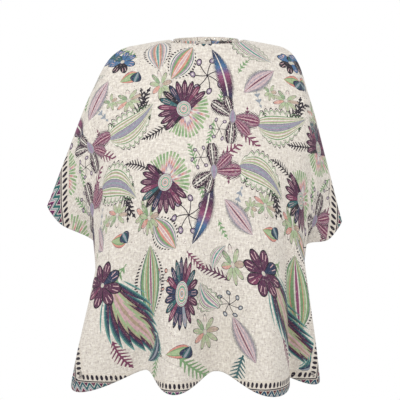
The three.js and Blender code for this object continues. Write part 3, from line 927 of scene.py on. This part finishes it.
# Spun polyester thread: matt and a little darker than the cloth, so a row reads as fine dots.
thread, thread_tree, thread_inputs = new_material("spun polyester sewing thread", {
    "Roughness": 0.7, "Sheen Weight": 0.15})
twist = add("TexNoise", None, None, 900.0, 1.0, tree=thread_tree)
thread_shade = add("ValToRGB", twist, stops={0.35: "c9bfae", 0.65: "e4dccd"})
thread_tree.links.new(thread_shade, thread_inputs["Base Color"])

band_angles = np.linspace(TAB_BASE_ANGLE + BUTT_GAP, TAB_BASE_ANGLE + 360 - BUTT_GAP, 361)
pucker = PUCKER * np.sin(np.radians(band_angles) * PUCKERS)
band_sections, band_heights = strip_round(
    band_angles, NECK_RADIUS + 0.15 + pucker, BAND_THICKNESS - 0.2, -BAND_HEIGHT, 0.0)
band_along = np.radians(band_angles) * NECK_RADIUS
band = swept("neckband_binding", band_sections, band_along, band_heights + BAND_PRINT)
band.data.materials.append(printed_cloth)
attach(band, "cape")
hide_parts("neckband")


def band_stitch_line(height):
    outside = NECK_RADIUS + BAND_THICKNESS + 0.05
    line = ring_point(band_angles, outside, height)
    return line, ring_point(band_angles, outside + 1, height) - line


band_lines = [band_stitch_line(height) for height in (-TOP_STITCH_INSET, -BAND_HEIGHT + TOP_STITCH_INSET)]
band_sewing = stitches("neckband_topstitching", *zip(*band_lines))
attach(band_sewing, "cape")

# ---- Closure tab ----
# A two-layer tab of the same cloth, 78 mm long with a rounded tip, sewn to the outside of the band's
# left end and topstitched all round. It laps over the right end, where its studs snap shut.

TAB_LENGTH = 78
TAB_HEIGHT = 15
TAB_THICKNESS = 2
TAB_RISE = 0.5
TAB_SPACING = 4.8
TAB_ROOT = 10  # sewn down to the band behind the fold
TAB_TIP = 6  # radius of the tip's corners
BOX_SEAM = 3.5  # the seam across the tab, ahead of the fold
tab_inside = NECK_RADIUS + BAND_THICKNESS + TAB_SPACING
tab_middle = -BAND_HEIGHT / 2 + TAB_RISE
tab_along = np.concatenate([
    np.linspace(-TAB_ROOT, TAB_LENGTH - TAB_TIP, 120),
    TAB_LENGTH - TAB_TIP + TAB_TIP * np.sin(np.linspace(0.1, math.pi / 2, 12)),
])


def tab_angle(along):
    return TAB_BASE_ANGLE + np.degrees(along / (tab_inside + TAB_THICKNESS))


def tab_radius(along):
    step = smooth_step(along, -6, 5)
    return NECK_RADIUS + BAND_THICKNESS + 0.3 + (TAB_SPACING - 0.3) * step


def tab_half(along, inset=0.0):
    past = np.clip((along - (TAB_LENGTH - TAB_TIP)) / (TAB_TIP - inset), 0, 1)
    return TAB_HEIGHT / 2 - inset - (TAB_TIP - inset) * (1 - np.sqrt(1 - past ** 2))


tab_sections, tab_heights = strip_round(
    tab_angle(tab_along), tab_radius(tab_along), TAB_THICKNESS,
    tab_middle - tab_half(tab_along), tab_middle + tab_half(tab_along))
tab = swept("closure_tab_strip", tab_sections, tab_along + TAB_PRINT[0], tab_heights + TAB_PRINT[1])
tab.data.materials.append(printed_cloth)
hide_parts("overlap_tab")

seam_along = np.linspace(-TAB_ROOT + TOP_STITCH_INSET, TAB_LENGTH - TOP_STITCH_INSET, 240)
upper = np.stack([seam_along, tab_half(seam_along, TOP_STITCH_INSET)], axis=-1)
loop = np.concatenate([upper, upper[::-1] * (1, -1), upper[:1]])
box_ends = np.array([(BOX_SEAM, tab_half(BOX_SEAM, TOP_STITCH_INSET)),
                     (BOX_SEAM, -tab_half(BOX_SEAM, TOP_STITCH_INSET))])
box_seam = box_ends[0] + (box_ends[1] - box_ends[0]) * np.linspace(0, 1, 20)[:, None]
tab_lines = []
for path in (loop, box_seam):
    angle, outside = tab_angle(path[:, 0]), tab_radius(path[:, 0]) + TAB_THICKNESS + 0.02
    line = ring_point(angle, outside, tab_middle + path[:, 1])
    tab_lines.append((line, ring_point(angle, outside + 1, tab_middle + path[:, 1]) - line))
tab_sewing = stitches("closure_tab_topstitching", *zip(*tab_lines))

for piece in (tab, tab_sewing):
    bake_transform(piece)

# ---- Snap fasteners ----
# Ring-spring snaps in nickel-plated steel, pressed through the cloth by machine: six sockets with
# back caps along the band's right end, and two studs under domed caps on the tab.

SNAP_PITCH = 15
FIRST_SNAP_ANGLE = 2
SOCKETS = 6
STUD_PLACES = (1, 2)
SNAP_SEGMENTS = 56
SOCKET_SEAT = 0.2  # how far each piece's foot stands from the band's or the tab's own surface
BACK_SEAT = 1.5
STUD_SEAT = 1.8
CAP_SEAT = 0.05

# Nickel plate: bright, slightly warm, with fine rub marks that blur the reflections in patches.
nickel, nickel_tree, nickel_inputs = new_material("nickel-plated pressed steel", {
    "Base Color": srgb("cfcdc8"), "Metallic": 1.0})
rubs = add("TexNoise", None, None, 420.0, 4.0, 0.6, tree=nickel_tree)
rub_shade = add("MapRange", rubs, 0.3, 0.7, 0.18, 0.36)
nickel_tree.links.new(rub_shade, nickel_inputs["Roughness"])


def turned(name, profile, angle, seat, body):
    """A pressed snap piece: [radius, height] pairs turned about a line that points out of the band."""
    out = ring_point(angle, 1, 0)
    centre = ring_point(angle, 0, -BAND_HEIGHT / 2) + out * seat
    side = np.cross(out, [0.0, 0.0, 1.0])
    side /= np.linalg.norm(side)
    rise = np.cross(side, out)
    spin = np.linspace(0, 2 * math.pi, SNAP_SEGMENTS + 1)[:-1]
    points = [
        centre + out * height + radius * (np.cos(t) * side + np.sin(t) * rise)
        for radius, height in profile for t in spin
    ]
    at = np.arange(len(points)).reshape(len(profile), SNAP_SEGMENTS)
    after = np.roll(at, -1, axis=1)
    faces = np.stack([at[:-1], after[:-1], after[1:], at[1:]], axis=-1).reshape(-1, 4).tolist()
    if profile[0] != profile[-1]:
        faces += [at[0, ::-1].tolist(), at[-1].tolist()]
    piece = outward_faces(mesh_object(name, np.array(points) * MM, faces))
    piece.data.materials.append(nickel)
    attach(piece, body)
    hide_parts(name)
    return piece


def rounded(profile, steps=3):
    """Rounds a profile's inner corners, as pressed sheet metal has them."""
    smooth = [profile[0]]
    for before, here, after in zip(profile, profile[1:], profile[2:]):
        for k in range(steps + 1):
            t = k / steps
            a = [h + (b - h) * 0.3 * (1 - t) for b, h in zip(before, here)]
            c = [h + (f - h) * 0.3 * t for f, h in zip(after, here)]
            smooth.append(tuple(x + y - h for x, y, h in zip(a, c, here)))
    smooth.append(profile[-1])
    return smooth


band_outside = NECK_RADIUS + BAND_THICKNESS
socket_profile = [(2.6, -0.1), (4.8, -0.1), (4.8, 1.5), (4.2, 2.1), (3.7, 2.3), (3.3, 2.0), (3.0, 2.2),
                  (2.6, 1.9), (2.6, -0.1)]
back_profile = [(0.05, 0.0), (2.4, 0.02), (3.6, 0.06), (4.6, 0.3), (5.0, 0.7), (5.0, 1.35), (0.05, 1.35)]
stud_profile = [(0.05, 0.0), (1.3, 0.0), (1.9, 0.3), (2.05, 0.8), (1.75, 1.3), (1.8, 1.8), (3.9, 1.9),
                (4.5, 2.2), (4.5, 3.0), (0.05, 3.1)]
cap_profile = [(0.05, 0.0), (5.2, 0.0), (5.6, 0.3), (5.6, 0.75), (5.2, 1.1), (4.0, 1.45), (2.2, 1.62),
               (0.05, 1.68)]
for place in range(SOCKETS):
    angle = FIRST_SNAP_ANGLE + place * SNAP_PITCH
    turned(f"socket_{place + 1}", rounded(socket_profile), angle, band_outside + SOCKET_SEAT, "cape")
    turned(f"socket_back_cap_{place + 1}", rounded(back_profile), angle, NECK_RADIUS - BACK_SEAT, "cape")
for index, place in enumerate(STUD_PLACES):
    angle = FIRST_SNAP_ANGLE + place * SNAP_PITCH
    turned(f"tab_stud_{index + 1}", rounded(stud_profile), angle, band_outside + STUD_SEAT, "closure_tab")
    cap_foot = tab_inside + TAB_THICKNESS - CAP_SEAT
    turned(f"tab_cap_{index + 1}", rounded(cap_profile), angle, cap_foot, "closure_tab")

# ---- Care label ----
# A blank loop of white satin tape, 28 mm by 44 mm, caught in the band's seam inside the neck, right
# of the nape. It hangs free and curls a little at its lower corners.

LABEL_WIDTH = 28
LABEL_DROP = 44
LABEL_ANGLE = 52
LABEL_INSET = 3
label_rows, label_columns = 40, 24
fall = np.linspace(0, 1, label_rows)[:, None]
wide = np.linspace(-0.5, 0.5, label_columns)[None]
label_out = ring_point(LABEL_ANGLE, 1, 0)
label_side = ring_point(LABEL_ANGLE + 90, 1, 0)
label_down = -np.cross(label_side, label_out)
label_down *= -np.sign(label_down[2])
curl = -2.2 * fall ** 2 * (4 * wide ** 2) + 0.5 * np.sin(fall * 5 + wide * 3) * fall
label_top = ring_point(LABEL_ANGLE, NECK_RADIUS - LABEL_INSET, 1 - BAND_HEIGHT)
label_points = (
    label_top + label_side * (LABEL_WIDTH * wide + 0 * fall)[..., None]
    + label_down * (LABEL_DROP * fall + 0 * wide)[..., None] + label_out * curl[..., None]
)
label, _ = double_sheet("satin_care_label", label_points, np.full((label_rows, label_columns), 0.25))

# Woven satin tape: brighter across its long floating threads than along them.
satin, satin_tree, satin_inputs = new_material("white polyester satin tape", {
    "Base Color": srgb("f3f2ee"), "Roughness": 0.38, "Anisotropic": 0.6})
satin_place = add("TexCoord", tree=satin_tree, out=3)
floats = add("TexWave", satin_place, 900.0, 1.5, 2.0, bands_direction="Z", out=1)
satin_bump = add("Bump", 0.12, 0.0001, None, floats)
satin_tree.links.new(satin_bump, satin_inputs["Normal"])
label.data.materials.append(satin)
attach(label, "cape")
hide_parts("care_label")

# ---- Hem stitching ----
# One row of lockstitch, 10 mm in from every free edge, holds the turned hem of the cape.

HEM_STITCH_INSET = 10
outward = grid_normals(hung)
face_points = hung + outward * (thickness / 2 + 0.05)[..., None]
away_points = face_points + outward


def inset_line(reach, near_other):
    """The outer face's points where reach, measured inwards along axis 0, first meets the inset."""
    first = np.argmax(reach >= HEM_STITCH_INSET, axis=0)
    columns = np.arange(reach.shape[1])
    before, after = reach[first - 1, columns], reach[first, columns]
    t = (HEM_STITCH_INSET - before) / (after - before)
    kept = near_other[first, columns] >= HEM_STITCH_INSET
    return first[kept], columns[kept], t[kept, None]


def along_inset(points, place):
    first, columns, t = place
    return points[first - 1, columns] * (1 - t) + points[first, columns] * t


hem_lines = []
for edge_first, reach, other in (
    (lambda grid: grid[::-1], border_distance, back_distance),
    (lambda grid: grid.swapaxes(0, 1), back_distance, border_distance),
    (lambda grid: grid[:, ::-1].swapaxes(0, 1), back_distance, border_distance),
):
    place = inset_line(edge_first(reach), edge_first(other))
    line = along_inset(edge_first(face_points), place)
    hem_lines.append((line, along_inset(edge_first(away_points), place) - line))
hem_sewing = stitches("hem_stitching", *zip(*hem_lines))
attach(hem_sewing, "cape")
